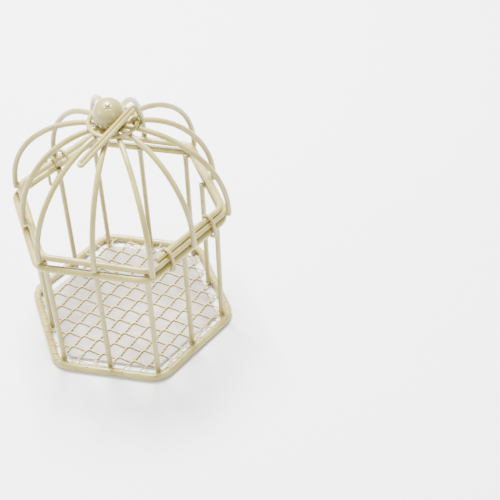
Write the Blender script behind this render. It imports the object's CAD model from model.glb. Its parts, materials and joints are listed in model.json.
# %% [markdown]
# # Wire birdcage favour box
# The cage is nothing but round wire, so the lesson builds one tool, a tube swept along many
# paths at once, and uses it for every ring, bar, rib, strand and clip. Lengths are in metres.

# %%
import json

import bpy
import numpy as np
from mathutils import Matrix, Vector


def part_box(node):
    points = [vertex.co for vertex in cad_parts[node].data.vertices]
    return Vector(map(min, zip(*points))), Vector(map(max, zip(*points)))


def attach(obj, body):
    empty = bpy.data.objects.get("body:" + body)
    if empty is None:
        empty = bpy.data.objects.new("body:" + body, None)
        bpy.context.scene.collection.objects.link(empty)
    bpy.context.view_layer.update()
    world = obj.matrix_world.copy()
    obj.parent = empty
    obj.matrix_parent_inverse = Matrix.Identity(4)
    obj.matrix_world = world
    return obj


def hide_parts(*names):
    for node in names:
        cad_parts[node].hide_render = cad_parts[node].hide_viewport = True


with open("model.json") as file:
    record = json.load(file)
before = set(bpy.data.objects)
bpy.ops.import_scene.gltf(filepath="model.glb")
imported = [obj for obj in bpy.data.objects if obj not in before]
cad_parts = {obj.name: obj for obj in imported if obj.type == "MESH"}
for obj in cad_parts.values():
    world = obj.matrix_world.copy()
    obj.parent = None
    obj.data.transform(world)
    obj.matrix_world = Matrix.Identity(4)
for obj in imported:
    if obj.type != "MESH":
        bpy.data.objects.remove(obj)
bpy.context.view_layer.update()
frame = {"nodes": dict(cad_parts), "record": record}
MM = 0.001
UP = np.array([0.0, 0.0, 1.0])
SIX = np.arange(6) * 60.0
TWELVE = np.arange(12) * 30.0

# %% [markdown]
# ## The frame's own measures
# The lid rests ajar. Its pieces are worked out as if it were shut, about the centre of the
# lid ring, and `hang` then turns them open about the hinge that the record states.

# %%
HINGE = next(j for j in frame["record"]["behaviour"]["joints"] if j["name"] == "lid_hinge")
HINGE_POINT = np.array(HINGE["pos_m"])
HINGE_LINE = np.array(HINGE["axis"])
AJAR = -np.radians(HINGE["range_deg"][0])


def turn(points, angle):
    """The points turned about the hinge: each arm is split into a part along the hinge line, which
    stays, and a part across it, which becomes its cosine share plus the cross product's sine share."""
    arm = points - HINGE_POINT
    level = (arm @ HINGE_LINE)[..., None] * HINGE_LINE
    return HINGE_POINT + level + (arm - level) * np.cos(angle) + np.cross(HINGE_LINE, arm) * np.sin(angle)


def vertices(node):
    """A CAD node's vertices as an array."""
    mesh = frame["nodes"][node].data
    flat = np.empty(len(mesh.vertices) * 3)
    mesh.vertices.foreach_get("co", flat)
    return flat.reshape(-1, 3)


def hexagon_measures(points):
    """A wire hexagon's centre, centreline apothem, corner radius and wire radius. The wire radius is
    half the height, and the corner radius follows from how short the corners fall of sharp ones."""
    low, high = points.min(axis=0), points.max(axis=0)
    wire = (high[2] - low[2]) / 2
    apothem = (high[1] - low[1]) / 2 - wire
    reach = (high[0] - low[0]) / 2 - wire
    sharp = 1 / np.cos(np.radians(30))
    return (low + high) / 2, apothem, (apothem * sharp - reach) / (sharp - 1), wire


base_centre, base_apothem, base_corner, base_wire = hexagon_measures(vertices("base_ring"))
rim_centre, rim_apothem, rim_corner, rim_wire = hexagon_measures(vertices("basket_rim"))
lid_centre, lid_apothem, lid_corner, lid_wire = hexagon_measures(turn(vertices("lid_ring"), -AJAR))
print("base ring", base_apothem, base_wire, "rim", rim_apothem, rim_wire, "lid ring", lid_apothem, lid_wire)


def hang(points):
    """Points about the shut lid ring's centre, at their place on the lid ajar."""
    return turn(points + lid_centre, AJAR)


def facing(degrees):
    """Unit vectors that point to angles round the upright axis."""
    angle = np.radians(degrees)
    return np.stack([np.cos(angle), np.sin(angle), np.zeros_like(angle)], axis=-1)


def hexagon_reach(degrees, apothem, corner):
    """How far a rounded hexagon's line is at its corners and at the middle of its sides."""
    at_corner = (apothem - corner) / np.cos(np.radians(30)) + corner
    return np.where(np.isclose(degrees % 60, 0), at_corner, apothem)


# %% [markdown]
# ## One tube for everything
# `tubes` takes a stack of paths, (count, steps, 3), and sweeps a circle along all of them in one
# array operation. `side` is a direction that no path runs along, so the circles don't twist.
# Open ends are closed with a small chamfer and a pole, which is how snipped wire looks.

# %%
def normalised(vectors):
    """Each vector over its own length."""
    return vectors / np.linalg.norm(vectors, axis=-1, keepdims=True)


def lumps(points, size, seed):
    """Smooth noise of about -1 to 1 with features of a size: the mean of nine sines, each of the
    distance along its own seeded random direction plus a random phase."""
    waves = np.random.default_rng(seed).normal(size=(9, 3)) / size
    phases = np.random.default_rng(seed + 1).uniform(0, 2 * np.pi, 9)
    return np.sin(points @ waves.T + phases).mean(axis=-1) * 1.7


def grid_quads(count, rows, columns, closed):
    """Quads over stacked grids whose columns wrap round, and whose rows do if closed."""
    row = np.arange(rows if closed else rows - 1)
    corner = (np.arange(count)[:, None, None] * rows + row[:, None]) * columns + np.arange(columns)
    after = (np.arange(count)[:, None, None] * rows + ((row + 1) % rows)[:, None]) * columns
    after = after + np.arange(columns)
    beside = np.roll(corner, -1, axis=2)
    return np.stack([corner, beside, np.roll(after, -1, axis=2), after], axis=-1).reshape(-1, 4)


def tubes(paths, radius, side, sides=12, closed=False):
    """Vertices, quads, triangles and the bare-end weight of tubes along paths. A point is the path
    point plus the radius times (cosine of the angle across + sine of the angle over)."""
    paths = np.atleast_3d(paths) if paths.ndim == 3 else paths[None]
    radius = np.broadcast_to(radius, paths.shape[:2]).copy()
    if closed:
        along = np.roll(paths, -1, axis=1) - np.roll(paths, 1, axis=1)
    else:
        along = np.gradient(paths, axis=1)
    along = normalised(along)
    bare = np.zeros(radius.shape)
    if not closed:
        ends = paths[:, [0, -1]]
        outward = along[:, [0, -1]] * np.array([-1, 1])[:, None]
        lip = radius[:, [0, -1]] * 0.18
        paths = np.concatenate([ends[:, :1], paths, ends[:, 1:]], axis=1)
        paths[:, 1] -= outward[:, 0] * lip[:, :1]
        paths[:, -2] -= outward[:, 1] * lip[:, 1:]
        along = np.concatenate([along[:, :1], along, along[:, -1:]], axis=1)
        radius = np.concatenate([radius[:, :1] * 0.82, radius, radius[:, -1:] * 0.82], axis=1)
        bare = np.concatenate([np.ones_like(radius[:, :1]), bare, np.ones_like(radius[:, :1])], axis=1)
    side = np.broadcast_to(side, paths.shape)
    across = normalised(side - (side * along).sum(-1, keepdims=True) * along)
    over = np.cross(along, across)
    angle = np.arange(sides) * 2 * np.pi / sides
    ring = across[:, :, None] * np.cos(angle)[:, None] + over[:, :, None] * np.sin(angle)[:, None]
    points = paths[:, :, None] + ring * radius[:, :, None, None]
    count, rows = radius.shape
    quads = grid_quads(count, rows, sides, closed)
    weight = np.repeat(bare.reshape(-1), sides)
    points = points.reshape(-1, 3)
    if closed:
        return points, quads, np.zeros((0, 3), int), weight
    poles = paths[:, [0, -1]].reshape(-1, 3)
    first = np.arange(count)[:, None] * rows * sides + np.arange(sides)
    last = first + (rows - 1) * sides
    pole = len(points) + np.arange(count)[:, None] * 2 + np.zeros(sides, int)
    start_fan = np.stack([np.roll(first, -1, axis=1), first, pole], axis=-1)
    end_fan = np.stack([last, np.roll(last, -1, axis=1), pole + 1], axis=-1)
    triangles = np.concatenate([start_fan.reshape(-1, 3), end_fan.reshape(-1, 3)])
    return np.concatenate([points, poles]), quads, triangles, np.concatenate([weight, np.ones(len(poles))])


# %%
def joined(*shapes):
    """Several (points, quads, triangles, weight) shapes as one."""
    starts = np.cumsum([0] + [len(shape[0]) for shape in shapes[:-1]])
    quads = np.concatenate([shape[1] + start for shape, start in zip(shapes, starts)])
    triangles = np.concatenate([shape[2] + start for shape, start in zip(shapes, starts)])
    return (np.concatenate([shape[0] for shape in shapes]), quads, triangles,
            np.concatenate([shape[3] for shape in shapes]))


def mesh_object(name, shape, body, replaced=()):
    """A smooth mesh object from numpy arrays, riding on a CAD body."""
    points, quads, triangles, weight = shape
    mesh = bpy.data.meshes.new(name)
    mesh.vertices.add(len(points))
    mesh.vertices.foreach_set("co", points.astype(np.float32).reshape(-1))
    loops = np.concatenate([quads.reshape(-1), triangles.reshape(-1)])
    totals = np.concatenate([np.full(len(quads), 4), np.full(len(triangles), 3)])
    mesh.loops.add(len(loops))
    mesh.loops.foreach_set("vertex_index", loops.astype(np.int32))
    mesh.polygons.add(len(totals))
    mesh.polygons.foreach_set("loop_start", (np.cumsum(totals) - totals).astype(np.int32))
    mesh.polygons.foreach_set("loop_total", totals.astype(np.int32))
    mesh.update(calc_edges=True)
    mesh.validate()
    mesh.shade_smooth()
    mesh.attributes.new("bare", "FLOAT", "POINT").data.foreach_set("value", weight.astype(np.float32))
    piece = bpy.data.objects.new(name, mesh)
    bpy.context.scene.collection.objects.link(piece)
    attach(piece, body)
    if replaced:
        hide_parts(*replaced)
    return piece


def arc(centre, radius, start, end, across, over, steps):
    """Points of an arc in the plane of two unit vectors."""
    angle = np.radians(np.linspace(start, end, steps))[:, None]
    return centre + radius * (np.cos(angle) * across + np.sin(angle) * over)


# %% [markdown]
# ## Rings
# A hexagonal ring is six straight runs and six corner arcs. The paint pools a little, so every
# wire's radius wanders by a few hundredths of a millimetre.

# %%
PAINT_WANDER = 0.03 * MM
LUMP_SIZE = 1.6 * MM
STRAIGHT_STEPS = 26
CORNER_STEPS = 13


def hexagon_path(apothem, corner):
    """The closed centreline of a rounded hexagon about the origin."""
    turn_angle = np.linspace(-30, 30, CORNER_STEPS)
    hub = facing(SIX)[:, None] * ((apothem - corner) / np.cos(np.radians(30)))
    arcs = hub + corner * facing(SIX[:, None] + turn_angle)
    following = np.roll(arcs[:, 0], -1, axis=0)[:, None]
    share = (np.arange(1, STRAIGHT_STEPS) / STRAIGHT_STEPS)[:, None]
    runs = arcs[:, -1:] * (1 - share) + following * share
    return np.concatenate([arcs, runs], axis=1).reshape(-1, 3)


def ring(name, path, wire, body, seed):
    """A painted wire hexagon that stands for the CAD node of the same name."""
    radius = wire - PAINT_WANDER + PAINT_WANDER * lumps(path, LUMP_SIZE, seed)
    return mesh_object(f"{name}_wire", tubes(path, radius, UP, sides=20, closed=True), body, [name])


base_path = hexagon_path(base_apothem, base_corner) + base_centre
base = ring("base_ring", base_path, base_wire, "basket", 1)
rim = ring("basket_rim", hexagon_path(rim_apothem, rim_corner) + rim_centre, rim_wire, "basket", 2)
lid_path = hang(hexagon_path(lid_apothem, lid_corner))
lid = ring("lid_ring", lid_path, lid_wire, "lid", 3)
print("rings:", [len(piece.data.vertices) for piece in (base, rim, lid)])

# %% [markdown]
# ## Upright bars
# Each bar stands inside the base ring and the rim and is welded to both. Its ends are read
# from its CAD node. The paint is thicker beside the welds, and the snipped ends are bare.

# %%
WELD_SWELL = 0.16 * MM
WELD_REACH = 1.6 * MM
BAR_STEPS = 60


def swelling(points, welds, reach=WELD_REACH):
    """A radius gain that falls as a bell curve of the distance to the nearest weld."""
    gap = np.linalg.norm(points[..., None, :] - welds, axis=-1).min(axis=-1)
    return WELD_SWELL * np.exp(-(gap / reach) ** 2)


def end_centres(points, slice_height):
    """The centres of an upright wire's lower and upper end."""
    height = points[:, 2]
    low = points[height < height.min() + slice_height]
    high = points[height > height.max() - slice_height]
    return (low.min(axis=0) + low.max(axis=0)) / 2, (high.min(axis=0) + high.max(axis=0)) / 2


bar_names = [f"wall_bar_{int(angle):03d}" for angle in TWELVE]
bar_ends = np.array([end_centres(vertices(name), 0.2 * MM) for name in bar_names])
bar_wire = (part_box("wall_bar_090")[1][0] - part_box("wall_bar_090")[0][0]) / 2
share = np.linspace(0, 1, BAR_STEPS)[None, :, None]
bar_paths = bar_ends[:, :1] * (1 - share) + bar_ends[:, 1:] * share
bar_dir = facing(TWELVE)
foot_welds = bar_dir * (hexagon_reach(TWELVE, base_apothem, base_corner) - base_wire)[:, None] + base_centre
rim_welds = bar_dir * (hexagon_reach(TWELVE, rim_apothem, rim_corner) - rim_wire)[:, None] + rim_centre
bar_welds = np.concatenate([foot_welds, rim_welds])
bar_radius = bar_wire - PAINT_WANDER + PAINT_WANDER * lumps(bar_paths, LUMP_SIZE, 4)
bar_radius += swelling(bar_paths, bar_welds)
bars = mesh_object("wall_bars", tubes(bar_paths, bar_radius, UP + bar_dir[:, None] * 99, sides=14),
                   "basket", bar_names)
print("bars:", len(bar_paths), "wire radius", bar_wire)

# %% [markdown]
# ## Dome ribs
# A rib rises upright from its foot outside the lid ring, through a lower and an upper arc that
# meet at 45 degrees, and arrives level at the hub. The two radii follow from the span and rise.

# %%
RIB_STEPS = 48
rib_names = [f"dome_rib_{int(angle):03d}" for angle in TWELVE]
level_rib = turn(vertices("dome_rib_000"), -AJAR) - lid_centre
rib_wire = (level_rib[:, 1].max() - level_rib[:, 1].min()) / 2
dome_rise = level_rib[:, 2].max() - rib_wire
rib_tip = level_rib[:, 0].min()
rib_foot_drop = level_rib[:, 2].min()
rib_feet = hexagon_reach(TWELVE, lid_apothem, lid_corner)
rib_feet = rib_feet + level_rib[:, 0].max() - rib_wire - rib_feet[0]


def rib_path(angle, foot):
    """One rib's centreline about the shut lid ring's centre: an upright foot, then two arcs that
    meet at 45 degrees. Their radii differ by (rise - span) / (root 2 - 1)."""
    excess = (dome_rise - (foot - rib_tip)) / (np.sqrt(2) - 1)
    upper = dome_rise - excess * np.sqrt(0.5)
    lower = upper + excess
    out = facing(angle)
    start = out * foot + UP * np.linspace(rib_foot_drop, 0, 4)[:-1, None]
    shoulder = arc(out * (foot - lower), lower, 0, 45, out, UP, RIB_STEPS)[:-1]
    crown = arc(out * rib_tip + UP * (dome_rise - upper), upper, 45, 90, out, UP, RIB_STEPS)
    return np.concatenate([start, shoulder, crown])


rib_paths = hang(np.array([rib_path(angle, foot) for angle, foot in zip(TWELVE, rib_feet)]))
rib_welds = hang(facing(TWELVE) * (rib_feet - rib_wire)[:, None])
rib_radius = rib_wire - PAINT_WANDER + PAINT_WANDER * lumps(rib_paths, LUMP_SIZE, 5)
rib_radius += swelling(rib_paths, rib_welds)
tangents = facing(TWELVE + 90)[:, None]
ribs = mesh_object("dome_ribs", tubes(rib_paths, rib_radius, tangents, sides=14), "lid", rib_names)
print("ribs:", len(rib_paths), "rise", dome_rise, "tip", rib_tip)

# %% [markdown]
# ## Weld beads
# A bead fills the crease on both sides of each joint. Every bead is the same sphere, squashed
# along its own three directions and roughened by the same wandering noise.

# %%
BEAD_ROWS, BEAD_COLUMNS = 13, 18


def beads(centres, out, half_sizes, seed):
    """Squashed spheres with their first axis outward and their last upright: the sphere's three
    coordinates times the half sizes, pushed in and out by the wandering noise."""
    polar = np.linspace(0.04, np.pi - 0.04, BEAD_ROWS)[:, None]
    round_angle = np.arange(BEAD_COLUMNS) * 2 * np.pi / BEAD_COLUMNS
    ball = np.stack([np.sin(polar) * np.cos(round_angle), np.sin(polar) * np.sin(round_angle),
                     np.cos(polar) + 0 * round_angle], axis=-1)
    beside = np.cross(UP, out)
    axes = np.stack([out, beside, np.broadcast_to(UP, out.shape)], axis=1)
    points = np.einsum("rcj,j,njk->nrck", ball, half_sizes, axes) + centres[:, None, None]
    away = points - centres[:, None, None]
    points = centres[:, None, None] + away * (1 + 0.16 * lumps(points, 0.5 * MM, seed)[..., None])
    quads = grid_quads(len(centres), BEAD_ROWS, BEAD_COLUMNS, False)[:, ::-1]
    poles = points[:, [0, -1]].mean(axis=2).reshape(-1, 3)
    first = np.arange(len(centres))[:, None] * BEAD_ROWS * BEAD_COLUMNS + np.arange(BEAD_COLUMNS)
    last = first + (BEAD_ROWS - 1) * BEAD_COLUMNS
    total = len(centres) * BEAD_ROWS * BEAD_COLUMNS
    pole = total + np.arange(len(centres))[:, None] * 2 + np.zeros(BEAD_COLUMNS, int)
    caps = np.concatenate([np.stack([first, np.roll(first, -1, axis=1), pole], axis=-1).reshape(-1, 3),
                           np.stack([np.roll(last, -1, axis=1), last, pole + 1], axis=-1).reshape(-1, 3)])
    points = np.concatenate([points.reshape(-1, 3), poles])
    return points, quads, caps, np.zeros(len(points))


bead_size = np.array([0.75, 1.25, 1.15]) * MM
basket_beads = mesh_object("basket_weld_beads", joined(
    beads(foot_welds, bar_dir, bead_size, 6), beads(rim_welds, bar_dir, bead_size, 7)), "basket")
lid_beads = mesh_object("lid_weld_beads", beads(rib_welds, bar_dir, bead_size, 8), "lid")
print("weld beads:", len(foot_welds) + len(rim_welds), "on the basket,", len(rib_welds), "on the lid")

# %% [markdown]
# ## Floor netting
# Hexagonal netting is woven of wire pairs: two strands twist round each other down the wall of
# a mesh, then part along the peaks. Each wall and each half peak is one short path, and all
# paths of a kind are swept together. Where the netting meets the base ring its strands run on
# and wrap over the ring.

# %%
PITCH = np.array([6.2, -0.8, 0]) * MM
ROW = np.array([3.6, -6.35, 0]) * MM
PEAK = np.array([0.9, 0.8, 0]) * MM
SHOULDER = np.array([2.7, -10.8, 0]) * MM
STRAND = 0.27 * MM
TWIST_OFFSET = 0.19 * MM
TWISTS = 1.5
SPAN = 9
STRAND_STEPS = 22

column, line = np.meshgrid(np.arange(-SPAN, SPAN + 1), np.arange(-SPAN, SPAN + 1))
shoulders = SHOULDER + column.reshape(-1, 1) * PITCH + line.reshape(-1, 1) * ROW + base_centre
wall = ROW - PITCH + PEAK
side_normals = facing(SIX + 30)


# %%
def edge_share(start, end, apothem):
    """How far along each segment it leaves the hexagon, and which side it leaves by."""
    from_centre = start @ side_normals.T
    change = (end - start) @ side_normals.T
    with np.errstate(divide="ignore", invalid="ignore"):
        share = np.where(change > 1e-9, (apothem - from_centre) / change, np.inf)
    return share.min(axis=1), share.argmin(axis=1)


def inside(points, apothem):
    """Whether points are inside the floor's hexagon."""
    return (points @ side_normals.T).max(axis=1) < apothem


def netting_runs(start, end):
    """Whole runs inside the ring, and the runs that leave it, from the inside outward."""
    flip = ~inside(start, base_apothem) & inside(end, base_apothem)
    first = np.where(flip[:, None], end, start)
    second = np.where(flip[:, None], start, end)
    keep = inside(first, base_apothem - base_wire)
    whole = keep & inside(second, base_apothem - base_wire)
    leaving = keep & ~whole
    return first[whole], second[whole], first[leaving], second[leaving]


def along_paths(start, end, steps=STRAND_STEPS):
    """Straight paths: each point is the start and end mixed in proportion to its share."""
    share = np.linspace(0, 1, steps)[None, :, None]
    return start[:, None] * (1 - share) + end[:, None] * share


def level_side(paths):
    """The level direction across each path."""
    return normalised(np.cross(UP, paths[:, -1] - paths[:, 0]))[:, None]


def twisted(paths, phase):
    """One strand of a twisted pair: a helix about the path, whose radius fades to nothing at both
    ends as a low power of a half sine."""
    angle = np.linspace(0, TWISTS * 2 * np.pi, paths.shape[1])[None, :, None] + phase
    fade = np.sin(np.linspace(0, np.pi, paths.shape[1]))[None, :, None] ** 0.25
    return paths + TWIST_OFFSET * fade * (np.cos(angle) * level_side(paths) + np.sin(angle) * UP)


def wrapped(start, end):
    """Strands that leave the hexagon: a straight run to the ring, then an arc about the ring's
    wire from its inner side to just past its top."""
    share, side_index = edge_share(start, end, base_apothem)
    out = side_normals[side_index]
    meet = start + (end - start) * np.minimum(share, 1.5)[:, None]
    meet = meet - out * ((meet * out).sum(-1) - base_apothem)[:, None]
    hold = base_wire + STRAND * 0.25
    angle = np.radians(np.linspace(150, 70, STRAND_STEPS))[None, :, None]
    over_ring = meet[:, None] + hold * (np.cos(angle) * out[:, None] + np.sin(angle) * UP)
    run = along_paths(start, over_ring[:, 0], STRAND_STEPS)
    return np.concatenate([run[:, :-1], over_ring], axis=1), (np.cross(UP, out) + 0.3 * UP)[:, None]


# %%
whole_from, whole_to, out_from, out_to = netting_runs(shoulders, shoulders + wall)
walls = along_paths(whole_from, whole_to)
half_peaks = [netting_runs(shoulders, shoulders + PEAK), netting_runs(shoulders + PEAK, shoulders + PITCH)]
peaks = np.concatenate([along_paths(runs[0], runs[1]) for runs in half_peaks])
loose_from = np.concatenate([out_from] + [runs[2] for runs in half_peaks])
loose_to = np.concatenate([out_to] + [runs[3] for runs in half_peaks])
ends, ends_side = wrapped(loose_from, loose_to)
netting = mesh_object("floor_netting_wires", joined(
    tubes(twisted(walls, 0), STRAND, level_side(walls), sides=8),
    tubes(twisted(walls, np.pi), STRAND, level_side(walls), sides=8),
    tubes(peaks, STRAND * 1.05, level_side(peaks), sides=8),
    tubes(ends, STRAND, ends_side, sides=8)), "basket", ["floor_netting"])
print("netting:", len(walls), "walls,", len(peaks), "half peaks,", len(ends), "ends on the ring")

# %% [markdown]
# ## Floor film
# A thin clear sheet is stuck under the netting. It is a hexagon drawn in rings from the middle
# out, with a small ripple where it isn't held flat, and a top and a bottom face.

# %%
FILM_THICKNESS = 0.1 * MM
FILM_RIPPLE = 0.05 * MM
FILM_RINGS = 40
FILM_COLUMNS = 180

film_low, film_high = (np.array(corner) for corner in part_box("floor_liner"))
film_apothem = (film_high[1] - film_low[1]) / 2
film_angle = np.arange(FILM_COLUMNS) * 2 * np.pi / FILM_COLUMNS
film_edge = film_apothem / np.cos(film_angle % (np.pi / 3) - np.pi / 6)
film_edge = np.minimum(film_edge, (film_high[0] - film_low[0]) / 2)
film_share = np.linspace(0.01, 1, FILM_RINGS)[:, None]
film_top = np.stack([film_share * film_edge * np.cos(film_angle), film_share * film_edge * np.sin(film_angle),
                     np.zeros((FILM_RINGS, FILM_COLUMNS))], axis=-1)
film_top[..., 2] = film_high[2] - FILM_RIPPLE * (1.2 + lumps(film_top, 4 * MM, 11))
film_bottom = film_top[::-1] - UP * FILM_THICKNESS
film_grid = np.concatenate([film_top, film_bottom])[None]
film_quads = grid_quads(1, 2 * FILM_RINGS, FILM_COLUMNS, False)[:, ::-1]
film_points = film_grid.reshape(-1, 3)
film_first = np.arange(FILM_COLUMNS)
film_last = film_first + (2 * FILM_RINGS - 1) * FILM_COLUMNS
film_pole = len(film_points) + np.zeros(FILM_COLUMNS, int)
film_caps = np.concatenate([np.stack([film_first, np.roll(film_first, -1), film_pole], axis=-1),
                            np.stack([np.roll(film_last, -1), film_last, film_pole + 1], axis=-1)])
film_poles = np.array([film_top[0].mean(axis=0), film_bottom[-1].mean(axis=0)])
film_points = np.concatenate([film_points, film_poles])
film = mesh_object("floor_film", (film_points, film_quads, film_caps, np.zeros(len(film_points))),
                   "basket", ["floor_liner"])
print("film: apothem", film_apothem, "top", film_points[:, 2].max())

# %% [markdown]
# ## Ball
# The ball is a sphere with a shallow drilled dimple on top that paint has half filled. The
# radius falls in a smooth step near the pole, and a faint cross in the dimple's edge remains.

# %%
BALL_ROWS = 96
BALL_COLUMNS = 96
DIMPLE_HALF = 0.75 * MM
DIMPLE_DEPTH = 0.38 * MM
CROSS_ARMS = 0.5
DIMPLE_TILT = np.radians(30)
DIMPLE_FACING = -70.0

ball_low, ball_high = (np.array(corner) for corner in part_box("finial_ball"))
ball_centre = (ball_low + ball_high) / 2
ball_radius = (ball_high[0] - ball_low[0]) / 2
ball_centre[2] = ball_low[2] + ball_radius
ball_polar = (np.linspace(0.02, 1, BALL_ROWS) ** 1.5 * (np.pi - 0.004))[:, None]
ball_round = np.arange(BALL_COLUMNS) * 2 * np.pi / BALL_COLUMNS
ball_unit = np.stack([np.sin(ball_polar) * np.cos(ball_round), np.sin(ball_polar) * np.sin(ball_round),
                      np.cos(ball_polar) + 0 * ball_round], axis=-1)
dimple_gap = ball_radius * ball_polar / (DIMPLE_HALF * (1 - CROSS_ARMS * np.cos(4 * ball_round)))
dent = DIMPLE_DEPTH * np.exp(-dimple_gap ** 4)
ball_skin = ball_radius - dent - PAINT_WANDER * (1 + lumps(ball_unit * ball_radius, 1.4 * MM, 12))
tilt_to = facing(np.array(DIMPLE_FACING))
tilt_pole = np.cos(DIMPLE_TILT) * UP + np.sin(DIMPLE_TILT) * tilt_to
tilt_over = np.cos(DIMPLE_TILT) * tilt_to - np.sin(DIMPLE_TILT) * UP
ball_axes = np.stack([tilt_over, np.cross(tilt_pole, tilt_over), tilt_pole])
ball_points = (ball_unit * ball_skin[..., None] @ ball_axes + ball_centre).reshape(-1, 3)
ball_quads = grid_quads(1, BALL_ROWS, BALL_COLUMNS, False)[:, ::-1]
ball_first = np.arange(BALL_COLUMNS)
ball_last = ball_first + (BALL_ROWS - 1) * BALL_COLUMNS
ball_pole = len(ball_points) + np.zeros(BALL_COLUMNS, int)
ball_bare = np.append(0.8 * np.exp(-dimple_gap ** 4).reshape(-1), [0.8, 0])
ball_caps = np.concatenate([np.stack([ball_first, np.roll(ball_first, -1), ball_pole], axis=-1),
                            np.stack([np.roll(ball_last, -1), ball_last, ball_pole + 1], axis=-1)])
ball_poles = np.array([ball_points[:BALL_COLUMNS].mean(axis=0), ball_points[-BALL_COLUMNS:].mean(axis=0)])
ball_points = np.concatenate([ball_points, ball_poles])
ball = mesh_object("finial_ball_turned", (ball_points, ball_quads, ball_caps, ball_bare),
                   "lid", ["finial_ball"])
print("ball: radius", ball_radius, "centre", ball_centre)

# %% [markdown]
# ## Weld at the hub
# The ribs' ends, the hub ring and the underside of the ball are one crusty weld. It is a ring of
# beads on the ribs' ends and one wide flat bead that the ball sits in.

# %%
HUB_BEAD_SIZE = np.array([1.25, 1.05, 0.85]) * MM
SEAT_SIZE = np.array([4.6, 4.6, 1.5]) * MM
SEAT_DROP = 0.82

hub_welds = hang(facing(TWELVE) * rib_tip + UP * dome_rise)
seat_centre = (ball_centre - UP * ball_radius * SEAT_DROP)[None]
hub_weld = mesh_object("hub_weld_beads", joined(
    beads(hub_welds, bar_dir, HUB_BEAD_SIZE, 13), beads(seat_centre, bar_dir[:1], SEAT_SIZE, 14)), "lid")
print("hub weld: 12 beads and a seat")

# %% [markdown]
# ## Paint, film and floor materials
# `Value` lets a socket be written in sums, and `Recipe.node` makes every node. The paint is
# semi-gloss ivory: its tone drifts in broad warm patches, fine orange peel breaks the
# highlights, and the attribute `bare` uncovers grey steel on the snipped ends.

# %%
class Value:
    """A number socket that can be used in Python sums."""

    def __init__(self, recipe, socket):
        self.recipe = recipe
        self.socket = socket

    def combine(self, operation, first, second):
        sockets = {0: first, 1: second}
        return Value(self.recipe, self.recipe.node("ShaderNodeMath", {"operation": operation}, sockets).outputs[0])

    def __add__(self, other):
        return self.combine("ADD", self, other)

    def __sub__(self, other):
        return self.combine("SUBTRACT", self, other)

    def __rsub__(self, other):
        return self.combine("SUBTRACT", other, self)

    def __mul__(self, other):
        return self.combine("MULTIPLY", self, other)

    __radd__ = __add__
    __rmul__ = __mul__


# %%
class Recipe:
    """A material under construction."""

    def __init__(self, name):
        self.material = bpy.data.materials.new(name)
        self.material.use_nodes = True
        self.tree = self.material.node_tree
        self.tree.nodes.clear()
        self.output = self.node("ShaderNodeOutputMaterial", {}, {})
        self.place = self.node("ShaderNodeTexCoord", {}, {}).outputs["Object"]

    def node(self, kind, settings, sockets):
        """A node with its settings made first, then its sockets' values or links."""
        made = self.tree.nodes.new(kind)
        for name, setting in settings.items():
            if name == "stops":
                for stop, (position, colour) in zip(made.color_ramp.elements, setting):
                    stop.position = position
                    stop.color = colour
            else:
                setattr(made, name, setting)
        for name, given in sockets.items():
            given = given.socket if isinstance(given, Value) else given
            if isinstance(given, bpy.types.NodeSocket):
                self.tree.links.new(given, made.inputs[name])
            else:
                made.inputs[name].default_value = given
        return made

    def noise(self, scale, detail, roughness=0.5):
        """Noise over Object coordinates, as a number."""
        sockets = {"Vector": self.place, "Scale": scale, "Detail": detail, "Roughness": roughness}
        return Value(self, self.node("ShaderNodeTexNoise", {}, sockets).outputs["Fac"])

    def ramp(self, value, low, high):
        """The value, stretched so that low becomes 0 and high becomes 1."""
        made = self.node("ShaderNodeMapRange", {}, {"Value": value, "From Min": low, "From Max": high})
        return Value(self, made.outputs["Result"])

    def mix(self, factor, first, second):
        """One colour fading to another."""
        sockets = {0: factor, 6: first, 7: second}
        return self.node("ShaderNodeMix", {"data_type": "RGBA"}, sockets).outputs[2]

    def finish(self, sockets):
        """The shader, joined to the output."""
        shader = self.node("ShaderNodeBsdfPrincipled", {}, sockets)
        self.tree.links.new(shader.outputs[0], self.output.inputs["Surface"])
        return self.material


# %%
THIN_COAT = (0.17, 0.125, 0.03, 1)


def ivory_paint(name, light, warm, coat):
    """Sprayed ivory paint on wire."""
    paint = Recipe(name)
    patches = paint.ramp(paint.noise(90, 3), 0.35, 0.68)
    specks = paint.ramp(paint.noise(900, 2), 0.66, 0.74)
    bare = Value(paint, paint.node("ShaderNodeAttribute", {"attribute_name": "bare"}, {}).outputs["Fac"])
    tone = paint.mix(patches, light, warm)
    facing_up = paint.node("ShaderNodeTexCoord", {}, {}).outputs["Normal"]
    height = Value(paint, paint.node("ShaderNodeSeparateXYZ", {}, {"Vector": facing_up}).outputs["Z"])
    thin = paint.ramp(height, 0.35, -0.6)
    tone = paint.mix(thin * 0.85, tone, THIN_COAT)
    tone = paint.mix(specks * 0.35, tone, (0.30, 0.23, 0.10, 1))
    tone = paint.mix(bare * 0.8, tone, (0.10, 0.09, 0.06, 1))
    peel = paint.noise(1500, 2) + 0.6 * paint.noise(420, 2)
    bump = paint.node("ShaderNodeBump", {}, {"Height": peel, "Distance": 0.00003, "Strength": 0.55})
    return paint.finish({"Base Color": tone, "Roughness": 0.3 + 0.14 * paint.noise(260, 3) + 0.25 * bare,
                         "Metallic": bare * 0.55, "Coat Weight": coat, "Coat Roughness": 0.18,
                         "Normal": bump.outputs["Normal"]})


wire_paint = ivory_paint("ivory_wire_paint", (0.46, 0.39, 0.12, 1), (0.35, 0.285, 0.065, 1), 0.35)
netting_paint = ivory_paint("ivory_netting_paint", (0.68, 0.60, 0.22, 1), (0.58, 0.49, 0.14, 1), 0.3)
ball_paint = ivory_paint("ivory_ball_paint", (0.40, 0.34, 0.115, 1), (0.32, 0.265, 0.075, 1), 0.5)


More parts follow.
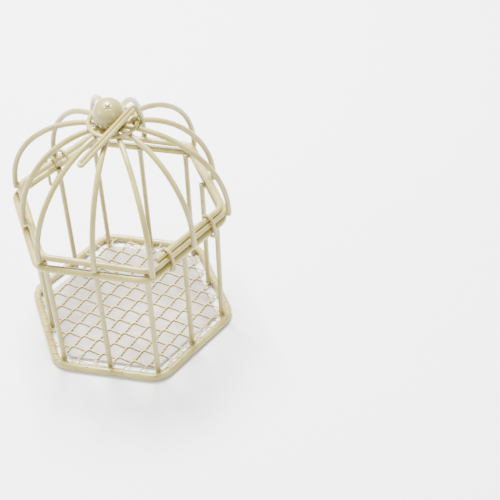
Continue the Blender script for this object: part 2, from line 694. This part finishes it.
# %%
def film_plastic():
    """Clouded clear film with scuffs."""
    haze = Recipe("clouded_film")
    cloud = haze.ramp(haze.noise(160, 5), 0.3, 0.7)
    scuffs = haze.ramp(haze.noise(1300, 4, 0.7), 0.5, 0.7)
    tone = haze.mix(cloud, (0.46, 0.38, 0.33, 1), (0.62, 0.54, 0.48, 1))
    bump = haze.node("ShaderNodeBump", {}, {"Height": haze.noise(240, 4), "Distance": 0.0002, "Strength": 0.5})
    return haze.finish({"Base Color": tone, "Roughness": 0.35 + 0.2 * scuffs, "Alpha": 0.72 + 0.14 * cloud,
                        "Normal": bump.outputs["Normal"]})


# %%
film_finish = film_plastic()
new_wires = [base, rim, lid, bars, ribs, basket_beads, lid_beads, hub_weld, netting]
for piece in new_wires:
    piece.data.materials.append(netting_paint if piece is netting else wire_paint)
ball.data.materials.append(ball_paint)
film.data.materials.append(film_finish)
for name in ("hub_ring", "lid_lap_wire", "hinge_clip_left", "hinge_clip_right", "hanging_loop", "lid_catch"):
    for slot in frame["nodes"][name].material_slots:
        slot.material = wire_paint

# %% [markdown]
# ## Floor, light and camera
# The cage stands on white under a large soft light, with a weaker light from each side. The
# camera looks down from the front, and the cage sits left of the middle of its view.

# %%
FLOOR_HALF = 6.0
floor_mesh = bpy.data.meshes.new("white_floor")
floor_corners = np.array([[-1, -1, 0], [1, -1, 0], [1, 1, 0], [-1, 1, 0]]) * FLOOR_HALF
floor_mesh.from_pydata(floor_corners.tolist(), [], [[0, 1, 2, 3]])
floor = bpy.data.objects.new("white_floor", floor_mesh)
bpy.context.scene.collection.objects.link(floor)
floor_paint = Recipe("white_floor")
floor_mesh.materials.append(floor_paint.finish({"Base Color": (1, 1, 1, 1), "Roughness": 0.9}))


def soft_light(name, place, power, size):
    """A square light that faces the cage."""
    lamp = bpy.data.lights.new(name, "AREA")
    lamp.energy = power
    lamp.size = size
    light = bpy.data.objects.new(name, lamp)
    light.location = place
    aim = np.array([0, 0, 0.04]) - np.array(place)
    light.rotation_euler = Vector(aim).to_track_quat("-Z", "Y").to_euler()
    bpy.context.scene.collection.objects.link(light)
    return light


soft_light("overhead", (-0.15, 0.3, 0.9), 48, 0.35)
soft_light("left", (-0.9, -0.4, 0.5), 6, 0.4)
soft_light("right", (0.8, -0.6, 0.5), 4, 0.4)
world = bpy.data.worlds.new("studio")
world.use_nodes = True
world.node_tree.nodes["Background"].inputs["Color"].default_value = (1, 1, 1, 1)
world.node_tree.nodes["Background"].inputs["Strength"].default_value = 0.75
bpy.context.scene.world = world

# %%
CAMERA_PLACE = (0.0893, -0.2427, 0.2913)
CAMERA_LEFT_TURN = np.radians(9.683)
CAMERA_DOWN = np.radians(45.649)
CAMERA_ROLL = np.radians(-0.256)
LENS = 69.38

camera_data = bpy.data.cameras.new("camera")
camera_data.lens = LENS
camera_data.sensor_width = 36
camera_data.clip_start = 0.01
camera = bpy.data.objects.new("camera", camera_data)
heading = Matrix.Rotation(CAMERA_LEFT_TURN, 4, "Z")
tilt = Matrix.Rotation(np.pi / 2 - CAMERA_DOWN, 4, "X")
roll = Matrix.Rotation(CAMERA_ROLL, 4, "Z")
camera.matrix_world = Matrix.Translation(CAMERA_PLACE) @ heading @ tilt @ roll
bpy.context.scene.collection.objects.link(camera)
bpy.context.scene.camera = camera
print("camera right", camera.matrix_world.col[0][:3], "forward", camera.matrix_world.col[2][:3])
